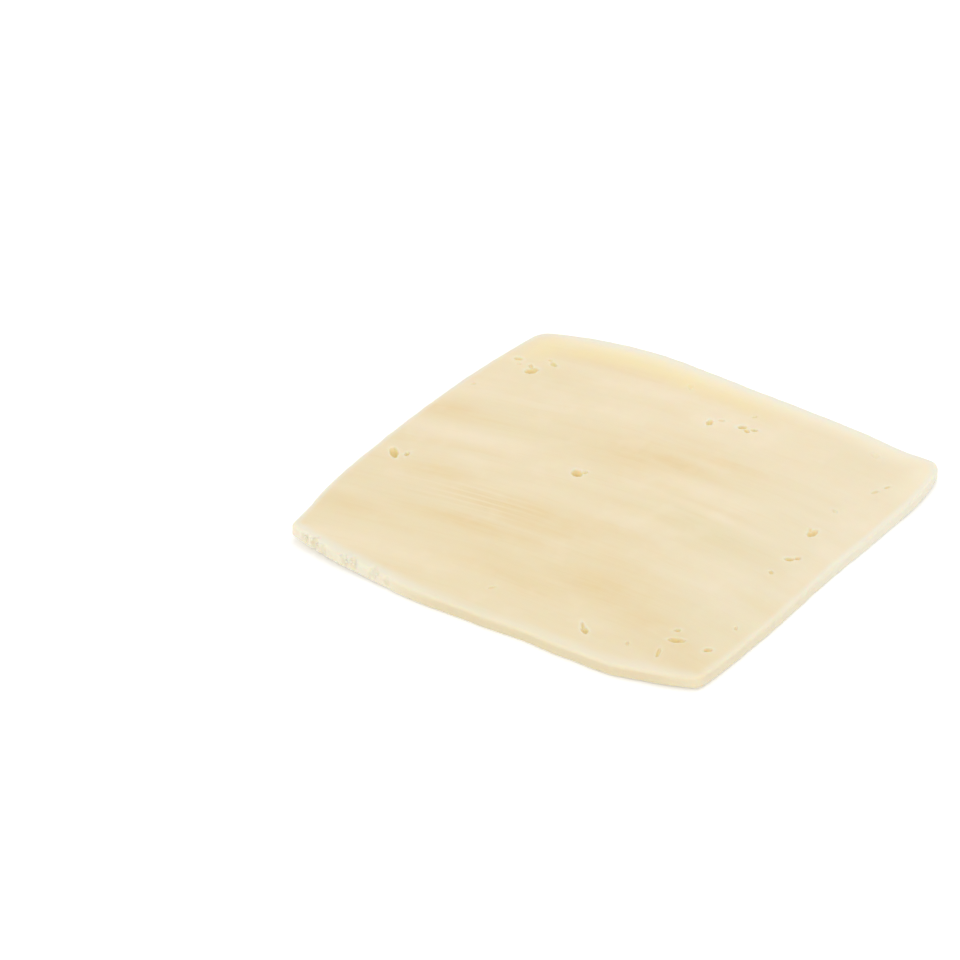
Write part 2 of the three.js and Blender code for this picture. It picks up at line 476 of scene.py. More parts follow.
def build_sheet(settings):
    """The closed mesh of the slice: two cut faces, and the rounded wall between them."""
    thickness = settings.thickness / MM
    step = settings.mesh_step / MM
    ring, shoulders, rims = dense_outline()
    columns, normals, radii = ring_columns(ring, shoulders, step * EDGE_STEP)
    variation = slow_noise(columns[:, 0], columns[:, 1], seed=5, wavelength=16.0)
    radii = radii * (1 + SHOULDER_VARIATION * variation)
    count = len(columns)

    top_loop = columns - normals * radii[:, None]
    top_inside = face_points(ring, TOP_EYES, TOP_SEED, radii.max(), step)
    top, top_triangles = triangulate(top_loop, top_inside)
    under_loop = columns - normals * FOOT_RADIUS
    under_inside = face_points(ring, UNDER_EYES, UNDER_SEED, FOOT_RADIUS, step * UNDER_STEP)
    under, under_triangles = triangulate(under_loop, under_inside)

    top_edge, top_place = nearest_edge(top, ring)
    top_edge = np.abs(top_edge)
    top_depth, top_lip = eye_depths(top, TOP_EYES, TOP_SEED)
    top_z = thickness + curl_at(top) - rim_sag(top_edge) - top_depth + LIP_HEIGHT * top_lip
    under_edge = np.abs(nearest_edge(under, ring)[0])
    under_depth, under_lip = eye_depths(under, UNDER_EYES, UNDER_SEED)
    under_z = curl_at(under) + under_depth

    rows, walls = [], []
    for inset, height in wall_section(thickness, radii):
        share = height / thickness
        spot = columns - normals * (inset - wall_waves(columns, height, thickness))[:, None]
        rows.append(np.column_stack([spot, height - rim_sag(radii) * share + curl_at(spot)]))
        walls.append(1 - share)

    vertices = [np.column_stack([top, top_z]), *rows, np.column_stack([under, under_z])]
    starts = np.cumsum([0] + [len(v) for v in vertices[:-1]])
    loops = [start + np.arange(count) for start in starts]
    faces = top_triangles.tolist()
    for upper, lower in zip(loops[:-1], loops[1:]):
        faces += np.column_stack([upper, lower, np.roll(lower, -1), np.roll(upper, -1)]).tolist()
    faces += (under_triangles[:, ::-1] + starts[-1]).tolist()

    vertices = np.concatenate(vertices)
    on_wall = np.zeros(count * len(rows))
    wall_share = np.concatenate([np.zeros(len(top)), *walls, np.ones(len(under))])
    edge = np.concatenate([top_edge, on_wall, under_edge])
    eye = np.concatenate([top_depth, on_wall, under_depth])
    lip = np.concatenate([top_lip, on_wall, under_lip])
    vertices, eye, lip = tear_edge(vertices, eye, lip, ring)
    rim_width = np.full(len(vertices), 2.0)
    rim_width[: len(top)] = rims[top_place]
    relief = np.clip((edge - 1.0) / 3.0, 0, 1) * (wall_share == 0)
    # The rim, wall, eye and lip attributes also place painted light: the rim highlight, the shade at the
    # wall's foot, the shade in the eyes and the highlight round them.
    attributes = {"edge": edge, "rim": edge / rim_width, "wall": wall_share, "eye": eye, "lip": lip,
                  "relief": relief}
    return vertices, faces, attributes


def near_side_point(x, ring):
    """The point of the near side of the outline at a given x."""
    near = ring[ring[:, 1] < NEAR_SIDE_BELOW]
    return near[np.abs(near[:, 0] - x).argmin()]


def tear_edge(vertices, eye, lip, ring):
    """Presses the torn pits into the upper edge of the near side."""
    random = np.random.default_rng(PIT_SEED)
    for number, (middle, length, width, depth) in enumerate(TORN_PITS):
        x, y = near_side_point(middle, ring)
        z = TORN_TOP + curl_at(np.array([[x, y]]))[0] - random.uniform(*PIT_DROP)
        dx, dy, dz = vertices[:, 0] - x, vertices[:, 1] - (y + PIT_SET_IN), vertices[:, 2] - z
        reach = np.sqrt((dx / (length / 2)) ** 2 + (dy / PIT_REACH) ** 2 + (dz / width) ** 2)
        ragged = slow_noise(dx * 2 + dz, dy * 2 - dz, seed=40 + number, wavelength=2.0)
        reach = reach * (1 + PIT_RAGGEDNESS * ragged)
        inside = np.flatnonzero(reach < 1)
        push = depth * (1 - reach[inside] ** 2.4) ** 0.7
        # The pit goes in all over and sinks only in its upper part.
        upper_part = np.clip((vertices[inside, 2] - z) / width + 0.6, 0, 1)
        vertices[inside, 1] += push * 0.85
        vertices[inside, 2] -= push * 0.45 * upper_part
        # The pit gets the eyes' painted shade, and round it a painted lip highlight.
        eye[inside] = np.maximum(eye[inside], push * PIT_EYE)
        halo = np.exp(-((reach - 1.25) / 0.3) ** 2)
        lip = np.maximum(lip, np.where(reach > 1, halo, 0) * PIT_LIP)
    return vertices, eye, lip


def mesh_from(name, vertices, faces, attributes):
    """A smooth mesh in metres with the given point attributes."""
    mesh = bpy.data.meshes.new(name)
    mesh.from_pydata((vertices * MM).tolist(), [], faces)
    for key, values in attributes.items():
        mesh.attributes.new(key, "FLOAT", "POINT").data.foreach_set("value", values.astype(np.float32))
    mesh.shade_smooth()
    mesh.validate()
    return mesh


# ----------------------------------------------------------
# Node trees


def arithmetic(operation, swapped=False):
    """A method of a socket that adds a Math node."""

    def method(self, other):
        return self.math(operation, other, self) if swapped else self.math(operation, self, other)

    return method


class Socket:
    """An output socket of a node tree, so that sums on it read as arithmetic and add Math nodes."""

    __add__ = arithmetic("ADD")
    __radd__ = arithmetic("ADD", swapped=True)
    __sub__ = arithmetic("SUBTRACT")
    __rsub__ = arithmetic("SUBTRACT", swapped=True)
    __mul__ = arithmetic("MULTIPLY")
    __rmul__ = arithmetic("MULTIPLY", swapped=True)
    __truediv__ = arithmetic("DIVIDE")
    maximum = arithmetic("MAXIMUM")

    def __init__(self, maker, socket):
        self.maker = maker
        self.socket = socket

    def math(self, operation, *values):
        return self.maker.node("ShaderNodeMath", {"operation": operation}, dict(enumerate(values)))[0]

    def sine(self):
        return self.math("SINE", self)

    def falloff(self):
        """e to the power of minus this value."""
        return self.math("EXPONENT", self * -1)


class Outputs:
    """The outputs of one node, by name or number."""

    def __init__(self, maker, node):
        self.maker = maker
        self.node = node

    def __getitem__(self, key):
        return Socket(self.maker, self.node.outputs[key])


class TreeMaker:
    """Adds nodes to a shader tree or a geometry tree."""

    def __init__(self, tree):
        self.tree = tree

    def node(self, kind, settings=None, inputs=None):
        """Adds a node, then sets its settings, and then the values or links of its input sockets."""
        made = self.tree.nodes.new(kind)
        for name, value in (settings or {}).items():
            setattr(made, name, value)
        for key, value in (inputs or {}).items():
            if isinstance(value, Socket):
                self.tree.links.new(value.socket, made.inputs[key])
            else:
                made.inputs[key].default_value = value
        return Outputs(self, made)

    def combine(self, x, y, z):
        return self.node("ShaderNodeCombineXYZ", {}, {0: x, 1: y, 2: z})[0]

    def separate(self, vector):
        made = self.node("ShaderNodeSeparateXYZ", {}, {0: vector})
        return made[0], made[1], made[2]

    def ramp_up(self, value, low, high):
        """0 below low, 1 above high, and smooth between."""
        settings = {"interpolation_type": "SMOOTHSTEP", "clamp": True}
        limits = {"Value": value, "From Min": low, "From Max": high, "To Min": 0.0, "To Max": 1.0}
        return self.node("ShaderNodeMapRange", settings, limits)["Result"]

    def noise(self, place, scale, detail, roughness=0.5):
        """Smooth noise from 0 to 1 at a place, which is a vector or its three parts."""
        vector = self.combine(*place) if isinstance(place, tuple) else place
        values = {"Vector": vector, "Scale": scale, "Detail": detail, "Roughness": roughness}
        return self.node("ShaderNodeTexNoise", {"noise_dimensions": "3D"}, values)[0]

    def blend(self, share, first, second):
        """Two colours mixed, where a share of 0 is all the first."""
        settings = {"data_type": "RGBA", "blend_type": "MIX", "clamp_factor": True}
        return self.node("ShaderNodeMix", settings, {0: share, 6: first, 7: second})[2]

    def moved(self, geometry, offset):
        inputs = {"Geometry": geometry, "Offset": offset}
        return self.node("GeometryNodeSetPosition", {}, inputs)["Geometry"]

    def random_vector(self, low, high, seed):
        """A random vector for each point, whose parts each lie between low and high."""
        limits = {"Min": (low,) * 3, "Max": (high,) * 3, "Seed": seed}
        return self.node("FunctionNodeRandomValue", {"data_type": "FLOAT_VECTOR"}, limits)["Value"]


def rgba(colour):
    """A colour setting as the four numbers that a socket takes."""
    return (*colour, 1.0)


# ----------------------------------------------------------
# Materials


CHEESE = "semi_soft_cheese"
WHITE = (1.0, 1.0, 1.0, 1.0)

# Clouds of slightly different cheese: middle x and y, half length, half width, and strength. They are
# drawn out along the slicer's path, which bows round BOW_MIDDLE.
BOW, BOW_MIDDLE = 0.0025, 10.0
RIDGE_SEED = 3.0
TAN_CLOUDS = [
    (-3.0, 13.0, 10.0, 6.0, 0.8),
    (3.0, 15.0, 8.0, 2.4, 1.2),
    (11.0, 20.5, 10.0, 1.8, 0.9),
    (-42.0, 8.5, 5.0, 2.8, 0.7),
    (-31.0, -13.0, 8.0, 2.6, 0.9),
    (-11.0, -14.5, 18.0, 4.2, 1.1),
    (-16.0, -23.5, 17.0, 2.6, 1.1),
    (16.0, -27.5, 13.0, 5.5, 1.2),
    (28.0, -32.5, 9.0, 4.0, 1.1),
    (36.0, -34.5, 6.0, 3.0, 1.1),
    (0.0, -33.0, 16.0, 5.0, 0.7),
    (-39.0, -32.0, 7.0, 3.5, 0.7),
    (41.0, -38.0, 6.0, 5.0, 0.9),
    (-24.0, 38.0, 20.0, 2.4, 0.8),
    (0.0, 40.0, 10.0, 2.2, 0.6),
]
PALE_CLOUDS = [
    (-32.0, 2.0, 14.0, 3.6, 1.1),
    (-43.0, 20.0, 6.0, 7.0, 0.7),
    (-24.0, -39.0, 15.0, 4.5, 0.8),
    (16.0, 9.0, 13.0, 3.0, 0.9),
    (22.0, 3.5, 20.0, 1.3, 0.9),
    (8.0, -5.5, 10.0, 2.6, 0.5),
    (6.0, 33.0, 15.0, 5.0, 1.0),
    (-13.0, 34.0, 15.0, 3.2, 1.0),
    (-14.0, 23.5, 11.0, 2.2, 0.8),
    (14.0, 39.0, 13.0, 3.0, 0.7),
    (44.0, 8.0, 5.0, 22.0, 0.9),
    (31.0, -14.0, 10.0, 6.0, 0.7),
    (32.0, 26.0, 12.0, 2.4, 0.8),
]
COMBED_CLOUDS = [
    (-20.0, -16.0, 12.0, 4.5, 1.0),
    (12.0, -18.0, 10.0, 3.0, 0.3),
]
GREEN_CLOUDS = [
    (23.0, -1.5, 14.0, 4.5, 1.1),
    (32.0, 33.0, 10.0, 5.0, 0.5),
    (-28.0, 29.0, 12.0, 4.0, 0.7),
    (-20.0, 9.0, 10.0, 3.6, 0.9),
    (36.0, -25.0, 9.0, 6.0, 0.5),
]


def along_path(x, y):
    """Y measured from the slicer's bowed path, so that it stays the same along a streak."""
    return y + BOW * (x - BOW_MIDDLE) * (x - BOW_MIDDLE)


def clouds_mask(x, streaked_y, clouds):
    """The strongest of several soft clouds at each place."""
    total = None
    for middle_x, middle_y, half_length, half_width, strength in clouds:
        level = middle_y + BOW * (middle_x - BOW_MIDDLE) ** 2
        across = (streaked_y - level) / half_width
        along = (x - middle_x) / half_length
        cloud = (across * across + along * along).falloff() * strength
        total = cloud if total is None else total.maximum(cloud)
    return total


def comb_angle(maker, x, streaked_y, pitch):
    """Phase of the fine ridges that the slicer combs into the face, in radians."""
    drift = maker.noise((x * 0.4, streaked_y, RIDGE_SEED), 0.05, 1.0)
    return (streaked_y + (drift - 0.5) * 5.0) / pitch * (2 * math.pi)


def colour_layers(maker, settings, place, wandering_y, fibres, mottling):
    """The layers of colour over the body colour, from the lowest up: how strong each is, and its colour."""
    ramp = maker.ramp_up
    x, y, z = place
    edge, rim, wall, eye, lip = (
        maker.node("ShaderNodeAttribute", {"attribute_name": name})["Fac"]
        for name in ("edge", "rim", "wall", "eye", "lip")
    )
    tan, pale, green, combed = (
        clouds_mask(x, wandering_y, clouds)
        for clouds in (TAN_CLOUDS, PALE_CLOUDS, GREEN_CLOUDS, COMBED_CLOUDS)
    )
    bands = maker.noise((x * 0.13, wandering_y, z * 0.3), 0.20, 2.0)
    texture = 0.60 + 0.7 * (fibres - 0.5) + 1.2 * (mottling - 0.5)
    upper_face = ramp(z, 1.6, 2.2)
    comb = comb_angle(maker, x, along_path(x, y), settings.ridge_pitch / MM)
    # Painted highlight on the crest lines of the combed ridges.
    crest_highlight = ramp(comb.sine(), 0.0, 0.9)

    far_side = ramp(y, 24.0, 38.0) * upper_face
    # Painted backlit glow: a saturated yellow band a little way in from the far edge, fading out towards +X
    # and weaker at the far left.
    band = ramp(edge, 1.2, 4.2) * ramp(edge, 11.0, 5.5) * far_side
    backlit_band_fade = ramp(x, 22.0, -10.0) * (0.9 - 0.35 * ramp(x, -24.0, -42.0))
    # Painted backlit highlight: a pale strip at the very far edge.
    glow = ramp(edge, 7.0, 0.5) * far_side * ramp(x, 60.0, 34.0) * ramp(x, -50.0, -28.0)
    # Towards the near right the painted rim highlight is weaker and the painted shade at the foot of the
    # wall is stronger.
    shaded_near_right = ramp(y, 20.0, -40.0) * ramp(x, -24.0, -4.0)
    # Painted highlight along the rounded rim, a little uneven.
    rim_highlight = ramp(rim + (mottling - 0.5) * 0.4, 1.05, 0.25)
    # Painted shade over the lower part of the wall, lighter past x 37 mm.
    wall_foot_shade = ramp(wall, 0.0, 0.32) * (1.0 - 0.45 * ramp(x, 37.0, 44.0))
    return [
        # the streaks and clouds
        (ramp(bands, 0.48, 0.72) * 0.40, settings.tan_colour),
        (ramp(bands, 0.50, 0.28) * 0.40, settings.pale_colour),
        (green * texture * upper_face, settings.green_colour),
        (tan * texture * upper_face * 1.25, settings.tan_colour),
        (pale * texture * upper_face * 1.2, settings.pale_colour),
        (ramp(fibres, 0.50, 0.75) * 0.20, settings.tan_colour),
        (ramp(mottling, 0.50, 0.75) * 0.35, settings.pale_colour),
        # the slow changes across the slice, and the painted highlight on the combed crest lines
        (ramp(x, 10.0, 46.0) * 0.17, settings.rim_highlight_colour),
        (ramp(y, 8.0, -30.0) * 0.16, settings.green_colour),
        (ramp(y, 12.0, 30.0) * 0.25, settings.pale_colour),
        (crest_highlight * combed * upper_face * 0.42, settings.pale_colour),
        # painted light along the far side, the rim and the wall: backlit glow and highlight, rim highlight,
        # and shade at the wall's foot
        (band * backlit_band_fade * (1.35 - mottling), settings.backlit_band_colour),
        (glow * 0.9, settings.far_edge_highlight_colour),
        (rim_highlight * (0.70 - 0.30 * shaded_near_right), settings.rim_highlight_colour),
        (wall_foot_shade * (0.20 + 0.70 * shaded_near_right), settings.wall_shade_colour),
        # the eyes: a painted highlight on their lips, and painted shade that deepens with their depth
        (lip * mottling * 0.5, settings.rim_highlight_colour),
        (ramp(eye, 0.06, 0.50) * 0.9, settings.eye_shade_colour),
        (ramp(eye, 0.55, 1.3), settings.deep_eye_shade_colour),
    ]


def empty_material(name):
    """A new material without nodes, and the maker of its tree."""
    material = bpy.data.materials.new(name)
    material.use_nodes = True
    material.node_tree.nodes.clear()
    return material, TreeMaker(material.node_tree)


def finish_material(maker, settings, inputs):
    """Ends a material's tree in a Principled shader with the given inputs."""
    shader = maker.node("ShaderNodeBsdfPrincipled", settings, inputs)
    maker.node("ShaderNodeOutputMaterial", {}, {"Surface": shader["BSDF"]})


def cheese_material(settings):
    """Pale translucent cheese, streaked along X, with a painted highlight at the rim, painted backlit glow
    along the far side, painted shade at the foot of the wall, and painted shade, deeper yellow, in the eyes.
    """
    material, maker = empty_material(CHEESE)
    place = [part * (1 / MM) for part in maker.separate(maker.node("ShaderNodeTexCoord")["Object"])]
    x, y, z = place
    streaked_y = along_path(x, y)
    drift = maker.noise((x, streaked_y, z), 0.03, 1.0)
    wandering_y = streaked_y + (drift - 0.5) * 5.0
    fibres = maker.noise((x * 0.07, wandering_y, z), 1.15, 3.0, 0.6)
    mottling = maker.noise((x, y, z), 0.16, 2.0)

    colour = rgba(settings.body_colour)
    for share, tint in colour_layers(maker, settings, place, wandering_y, fibres, mottling):
        colour = maker.blend(share, colour, rgba(tint))

    grain = maker.noise((x, y, z), 1.6, 4.0, 0.6)
    pores = maker.noise((x * 0.6, y, z), 5.0, 2.0)
    height = (fibres - 0.5) * 0.9 + (grain - 0.5) * 0.35 + (pores - 0.5) * 0.22
    bump = maker.node("ShaderNodeBump", {}, {"Strength": 0.22, "Distance": 0.12 * MM, "Height": height})
    finish_material(maker, {"subsurface_method": "RANDOM_WALK"}, {
        "Base Color": colour,
        "Roughness": 0.40 + 0.16 * (fibres - 0.5) + 0.10 * (grain - 0.5),
        "Normal": bump["Normal"],
        "IOR": 1.42,
        "Specular IOR Level": 0.42,
        "Subsurface Weight": settings.translucency,
        "Subsurface Radius": (1.0, 0.62, 0.30),
        "Subsurface Scale": settings.light_reach,
    })
    return material


def floor_material(settings):
    """A matt, nearly white table top."""
    material, maker = empty_material("table_top")
    cloud = maker.noise(maker.node("ShaderNodeTexCoord")["Object"], 6.0, 2.0)
    darker = [part * 0.985 for part in settings.floor_colour]
    finish_material(maker, {}, {
        "Base Color": maker.blend(cloud * 0.4, rgba(settings.floor_colour), rgba(darker)),
        "Roughness": 0.7,
        "Specular IOR Level": 0.2,
        "Emission Color": WHITE,
        "Emission Strength": settings.floor_glow,
    })
    return material


# ----------------------------------------------------------
# Geometry trees


def geometry_tree(name, sockets):
    """A geometry tree with a geometry input and output and the given named inputs."""
    tree = bpy.data.node_groups.new(name, "GeometryNodeTree")
    tree.interface.new_socket("Geometry", in_out="INPUT", socket_type="NodeSocketGeometry")
    for label, kind in sockets.items():
        tree.interface.new_socket(label, in_out="INPUT", socket_type="NodeSocket" + kind)
    tree.interface.new_socket("Geometry", in_out="OUTPUT", socket_type="NodeSocketGeometry")
    maker = TreeMaker(tree)
    return tree, maker, maker.node("NodeGroupInput")


def finish_tree(maker, given, geometry):
    """Ends a tree in real geometry with the given material."""
    real = maker.node("GeometryNodeRealizeInstances", {}, {"Geometry": geometry})["Geometry"]
    dressed = maker.node("GeometryNodeSetMaterial", {}, {"Geometry": real, "Material": given["Material"]})
    maker.node("NodeGroupOutput", {}, {"Geometry": dressed["Geometry"]})


def add_object(name, data):
    """A new object in the scene."""
    made = bpy.data.objects.new(name, data)
    bpy.context.scene.collection.objects.link(made)
    return made


def made_with(tree, source, values, name):
    """The plain mesh that a geometry tree makes of a mesh, as a new object."""
    holder = add_object(name + "_source", source)
    modifier = holder.modifiers.new("tree", "NODES")
    modifier.node_group = tree
    for item in tree.interface.items_tree:
        if item.in_out == "INPUT" and item.name in values:
            modifier[item.identifier] = values[item.name]
    bpy.context.view_layer.update()
    graph = bpy.context.evaluated_depsgraph_get()
    made = holder.evaluated_get(graph)
    mesh = bpy.data.meshes.new_from_object(made, preserve_all_data_layers=True, depsgraph=graph)
    bpy.data.objects.remove(holder)
    bpy.data.meshes.remove(source)
    if not len(mesh.polygons):
        raise RuntimeError(f"the tree for {name} made no faces")
    mesh.name = name
    return add_object(name, mesh)


def relief_tree():
    """Raises the slicer's fine ridges and the sheet's slow waves on the upper face."""
    tree, maker, given = geometry_tree("slicer_relief", {
        "Ridge Pitch": "Float",
        "Ridge Height": "Float",
        "Wave Height": "Float",
        "Material": "Material",
    })
    place = maker.separate(maker.node("GeometryNodeInputPosition")[0])
    x, y = (part * (1 / MM) for part in place[:2])
    streaked_y = along_path(x, y)
    mask = maker.node("GeometryNodeInputNamedAttribute", {"data_type": "FLOAT"}, {"Name": "relief"})[0]
    ridges = comb_angle(maker, x, streaked_y, given["Ridge Pitch"] * (1 / MM)).sine() * 0.5
    where = maker.noise((x * 0.22, streaked_y * 0.55, RIDGE_SEED + 9.0), 0.10, 2.0)
    elsewhere = maker.ramp_up(where, 0.46, 0.66) * 0.6
    combed = clouds_mask(x, streaked_y, COMBED_CLOUDS).maximum(elsewhere)
    fibres = maker.noise((x * 0.045, streaked_y, RIDGE_SEED + 4.0), 0.55, 3.0, 0.6) - 0.5
    slow = maker.noise((x * 0.6, y, RIDGE_SEED + 2.0), 0.035, 1.0) - 0.5
    lift = (ridges * combed + fibres * 2.2) * given["Ridge Height"] + slow * 2.0 * given["Wave Height"]
    offset = maker.combine(0.0, 0.0, lift * mask)
    finish_tree(maker, given, maker.moved(given["Geometry"], offset))
    return tree


def crumbs_tree():
    """Scatters small irregular grains along each of the given lines."""
    tree, maker, given = geometry_tree("torn_crumbs", {
        "Count": "Int",
        "Grain Size": "Float",
        "Spread": "Vector",
        "Seed": "Int",
        "Material": "Material",
    })
    line = maker.node("GeometryNodeMeshToCurve", {}, {"Mesh": given["Geometry"]})["Curve"]
    points = maker.node("GeometryNodeCurveToPoints", {"mode": "COUNT"},
                        {"Curve": line, "Count": given["Count"]})["Points"]
    aside = maker.random_vector(-1.0, 1.0, given["Seed"])
    offset = maker.node("ShaderNodeVectorMath", {"operation": "MULTIPLY"}, {0: aside, 1: given["Spread"]})[0]
    placed = maker.moved(points, offset)
    ball = maker.node("GeometryNodeMeshIcoSphere", {}, {"Radius": 1.0, "Subdivisions": 2})["Mesh"]
    spot = maker.node("GeometryNodeInputPosition")[0]
    lumps = (maker.noise(spot, 1.5, 1.0) - 0.5) * 1.6
    outward = maker.node("ShaderNodeVectorMath", {"operation": "SCALE"}, {0: spot, "Scale": lumps})[0]
    smooth = maker.node("GeometryNodeSetShadeSmooth", {}, {0: maker.moved(ball, outward)})[0]
    turn = maker.random_vector(0.0, FULL_TURN, given["Seed"])
    bulk = maker.node("FunctionNodeRandomValue", {"data_type": "FLOAT"},
                      {2: 0.35, 3: 1.0, "Seed": given["Seed"]})[1] * given["Grain Size"]
    scale = maker.combine(bulk * 1.3, bulk, bulk * 0.8)
    grains = maker.node("GeometryNodeInstanceOnPoints", {},
                        {"Points": placed, "Instance": smooth, "Rotation": turn, "Scale": scale})
    finish_tree(maker, given, grains["Instances"])
    return tree


# ----------------------------------------------------------
# Settings


def number_setting(name, description, default, **more):
    return bpy.props.FloatProperty(name=name, description=description, default=default, **more)


def length_setting(name, description, default):
    return number_setting(name, description, default, min=0.0, unit="LENGTH", precision=5)


def colour_setting(name, description, default):
    return bpy.props.FloatVectorProperty(name=name, description=description, default=default, size=3,
                                         min=0.0, max=1.0, subtype="COLOR")


class SliceSettings(bpy.types.PropertyGroup):
    """Sizes and colours of the slice"""

    thickness: length_setting("Thickness", "Thickness of the sheet, away from its rounded edge", 2.45 * MM)
    mesh_step: length_setting("Mesh step", "Spacing of the points on the upper face", 0.62 * MM)
    ridge_pitch: length_setting("Ridge pitch", "Spacing of the fine ridges that the slicer leaves", 1.8 * MM)
    ridge_height: length_setting("Ridge height", "Height of the fine ridges", 0.05 * MM)
    wave_height: length_setting("Wave height", "Height of the slow waves of the sheet", 0.16 * MM)
    light_reach: length_setting("Light reach", "How far light travels inside the cheese", 1.6 * MM)
    translucency: number_setting("Translucency", "Share of the light that passes through the cheese", 0.55,
                                 min=0.0, max=1.0, subtype="FACTOR")
    body_colour: colour_setting("Body", "Most of the cheese", (0.820, 0.706, 0.475))
    pale_colour: colour_setting("Pale clouds", "The lighter clouds and streaks", (0.870, 0.757, 0.555))
    tan_colour: colour_setting("Tan clouds", "The warmer clouds and streaks", (0.790, 0.618, 0.335))
    green_colour: colour_setting("Green clouds", "The cooler clouds", (0.775, 0.672, 0.415))
    # Painted light: the far band is a backlit glow, the far edge and rim are painted highlights, the wall is
    # painted shade at the foot of the edge, and the eye colours are painted shade in the eyes.
    backlit_band_colour: colour_setting("Far band", "The yellow band along the far side", (0.895, 0.760, 0.420))
    far_edge_highlight_colour: colour_setting("Far edge", "The pale strip along the far side", (0.910, 0.840, 0.650))
    rim_highlight_colour: colour_setting("Rim", "The thin bright edge", (0.805, 0.795, 0.690))
    wall_shade_colour: colour_setting("Wall", "The foot of the cut edge", (0.705, 0.615, 0.415))
    eye_shade_colour: colour_setting("Eyes", "The walls of the eyes", (0.865, 0.740, 0.400))
    deep_eye_shade_colour: colour_setting("Deep eyes", "The bottoms of the eyes", (0.800, 0.640, 0.290))


class CrumbSettings(bpy.types.PropertyGroup):
    """The loose grains on the torn stretch of the edge"""

    count: bpy.props.IntProperty(name="Count", description="Grains in each group", default=6, min=1)
    grain_size: length_setting("Grain size", "Radius of the largest grain", 0.28 * MM)
    seed: bpy.props.IntProperty(name="Seed", description="Picks another arrangement", default=4)


class StageSettings(bpy.types.PropertyGroup):
    """Floor, lights and camera"""

    azimuth: number_setting("Azimuth", "Heading of the camera round the slice", math.radians(34.1),
                            subtype="ANGLE")
    elevation: number_setting("Elevation", "Height of the camera above the horizon", math.radians(32.76),
                              subtype="ANGLE")
    distance: length_setting("Distance", "From the camera to the point that it looks at", 0.883)
    lens: number_setting("Lens", "Focal length on a sensor 36 mm wide", 177.0, min=1.0, unit="CAMERA")
    aim: bpy.props.FloatVectorProperty(
        name="Aim", description="The point that the camera looks at", size=3, subtype="XYZ", unit="LENGTH",
        default=(-23.4 * MM, -10.2 * MM, 2.45 * MM))
    floor_size: length_setting("Floor size", "Side of the square floor", 8.0)
    floor_glow: number_setting("Floor glow", "Light that the floor itself gives off", 0.15, min=0.0)
    floor_colour: colour_setting("Floor", "Colour of the floor", (0.985, 0.985, 0.985))
    sky_strength: number_setting("Sky", "Strength of the even light from all round", 0.82, min=0.0)
    key_power: number_setting("Key", "Power of the large light above", 1.2, min=0.0, unit="POWER")
    fill_power: number_setting("Fill", "Power of the light beside the camera", 1.5, min=0.0, unit="POWER")


# ----------------------------------------------------------
# Operators


def shared_cheese(context):
    """The one material that the slice and its crumbs share."""
    return bpy.data.materials.get(CHEESE) or cheese_material(context.scene.slice_settings)


def put_in_frame(piece, *nodes):
    """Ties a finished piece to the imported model."""
    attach(piece, "root")
    if nodes:
        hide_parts(*nodes)


class CHEESE_OT_slice(bpy.types.Operator):
    """Make the slice itself, with its eyes, rounded edge and curled corners"""

    bl_idname = "cheese.slice"
    bl_label = "Slice"

    def execute(self, context):
        settings = context.scene.slice_settings
        vertices, faces, attributes = build_sheet(settings)
        source = mesh_from("sheet", vertices, faces, attributes)
        values = {
            "Ridge Pitch": settings.ridge_pitch,
            "Ridge Height": settings.ridge_height,
            "Wave Height": settings.wave_height,
            "Material": shared_cheese(context),
        }
        piece = made_with(relief_tree(), source, values, "slice")
        put_in_frame(piece, "cheese_slice")
        return {"FINISHED"}


class CHEESE_OT_crumbs(bpy.types.Operator):
    """Make the loose grains along the torn stretch of the near edge"""

    bl_idname = "cheese.crumbs"
    bl_label = "Crumbs"

    def execute(self, context):
        settings = context.scene.crumb_settings
        ring = dense_outline()[0]
        lines, pairs = [], []
        for start, end in CRUMB_GROUPS:
            spots = np.array([near_side_point(x, ring) for x in np.arange(start, end, CRUMB_SPACING)])
            pairs += [(len(lines) + k, len(lines) + k + 1) for k in range(len(spots) - 1)]
            inwards, height = spots[:, 1] + CRUMB_SET_IN, curl_at(spots) + CRUMB_HEIGHT
            lines += np.column_stack([spots[:, 0], inwards, height]).tolist()
        source = bpy.data.meshes.new("torn_line")
        source.from_pydata((np.array(lines) * MM).tolist(), pairs, [])
        values = {
            "Count": settings.count,
            "Grain Size": settings.grain_size,
            "Spread": CRUMB_SPREAD,
            "Seed": settings.seed,
            "Material": shared_cheese(context),
        }
        piece = made_with(crumbs_tree(), source, values, "edge_crumbs")
        put_in_frame(piece)
        return {"FINISHED"}


def heading(azimuth, elevation):
    """The direction from the slice to a place at that azimuth and elevation."""
    return Vector((
        math.sin(azimuth) * math.cos(elevation),
        -math.cos(azimuth) * math.cos(elevation),
        math.sin(elevation),
    ))


# The lights: degrees round from the camera, degrees above the horizon, and distance and size in metres.
LIGHTS = {
    "key": {"turn": 150, "elevation": 70, "distance": 0.8, "size": 0.6},
    "fill": {"turn": -15, "elevation": 30, "distance": 0.9, "size": 0.7},
}


def soft_light(name, power, azimuth):
    """A square white light that faces the slice."""
    light = LIGHTS[name]
    data = bpy.data.lights.new(name, "AREA")
    data.energy = power
    data.size = light["size"]
    towards = heading(azimuth + math.radians(light["turn"]), math.radians(light["elevation"]))
    made = add_object(name, data)
    made.location = towards * light["distance"]
    made.rotation_euler = (-towards).to_track_quat("-Z", "Y").to_euler()


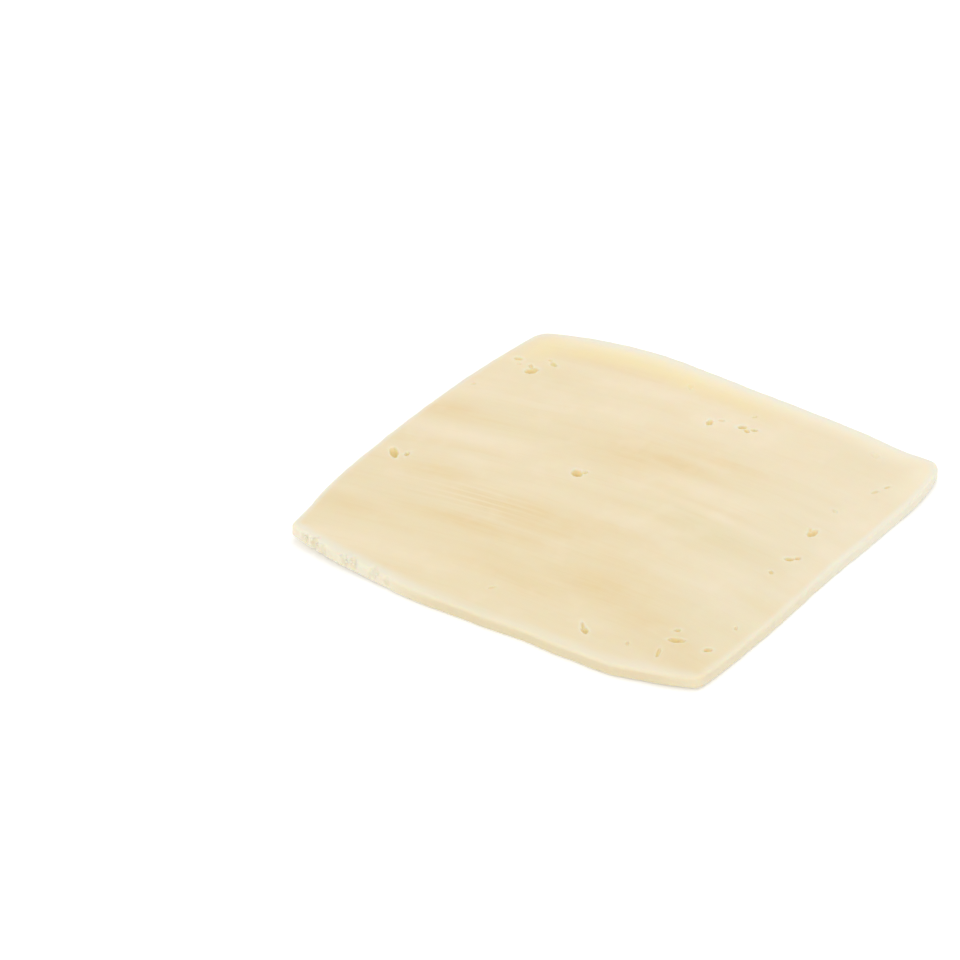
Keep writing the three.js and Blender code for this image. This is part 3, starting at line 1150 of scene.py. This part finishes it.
class CHEESE_OT_stage(bpy.types.Operator):
    """Make the floor, the soft lights and the camera"""

    bl_idname = "cheese.stage"
    bl_label = "Stage"

    def execute(self, context):
        settings = context.scene.stage_settings
        half = settings.floor_size / 2
        level = CAD_LOW[2]
        corners = [(-half, -half, level), (half, -half, level), (half, half, level), (-half, half, level)]
        mesh = bpy.data.meshes.new("floor")
        mesh.from_pydata(corners, [], [(0, 1, 2, 3)])
        mesh.materials.append(floor_material(settings))
        floor = add_object("floor", mesh)

        world = bpy.data.worlds.new("studio")
        world.use_nodes = True
        sky = world.node_tree.nodes["Background"]
        sky.inputs["Color"].default_value = WHITE
        sky.inputs["Strength"].default_value = settings.sky_strength
        context.scene.world = world
        soft_light("key", settings.key_power, settings.azimuth)
        soft_light("fill", settings.fill_power, settings.azimuth)

        back = heading(settings.azimuth, settings.elevation)
        data = bpy.data.cameras.new("camera")
        data.lens = settings.lens
        data.sensor_width = 36.0
        camera = add_object("camera", data)
        camera.location = Vector(settings.aim) + back * settings.distance
        camera.rotation_euler = (-back).to_track_quat("-Z", "Y").to_euler()
        context.scene.camera = camera
        context.scene.view_settings.view_transform = "Standard"
        return {"FINISHED"}


class CHEESE_PT_panel(bpy.types.Panel):
    """Settings and buttons of the cheese slice"""

    bl_label = "Cheese slice"
    bl_idname = "CHEESE_PT_panel"
    bl_space_type = "VIEW_3D"
    bl_region_type = "UI"
    bl_category = "Cheese"

    def draw(self, context):
        groups = (
            (context.scene.slice_settings, CHEESE_OT_slice),
            (context.scene.crumb_settings, CHEESE_OT_crumbs),
            (context.scene.stage_settings, CHEESE_OT_stage),
        )
        for settings, operator in groups:
            box = self.layout.box()
            for name in type(settings).__annotations__:
                box.prop(settings, name)
            box.operator(operator.bl_idname)


CLASSES = (
    SliceSettings,
    CrumbSettings,
    StageSettings,
    CHEESE_OT_slice,
    CHEESE_OT_crumbs,
    CHEESE_OT_stage,
    CHEESE_PT_panel,
)


def register():
    for cls in CLASSES:
        bpy.utils.register_class(cls)
    bpy.types.Scene.slice_settings = bpy.props.PointerProperty(type=SliceSettings)
    bpy.types.Scene.crumb_settings = bpy.props.PointerProperty(type=CrumbSettings)
    bpy.types.Scene.stage_settings = bpy.props.PointerProperty(type=StageSettings)


def unregister():
    del bpy.types.Scene.stage_settings
    del bpy.types.Scene.crumb_settings
    del bpy.types.Scene.slice_settings
    for cls in reversed(CLASSES):
        bpy.utils.unregister_class(cls)


def main():
    register()
    bpy.ops.cheese.slice()
    bpy.ops.cheese.crumbs()
    bpy.ops.cheese.stage()


if __name__ == "__main__":
    main()
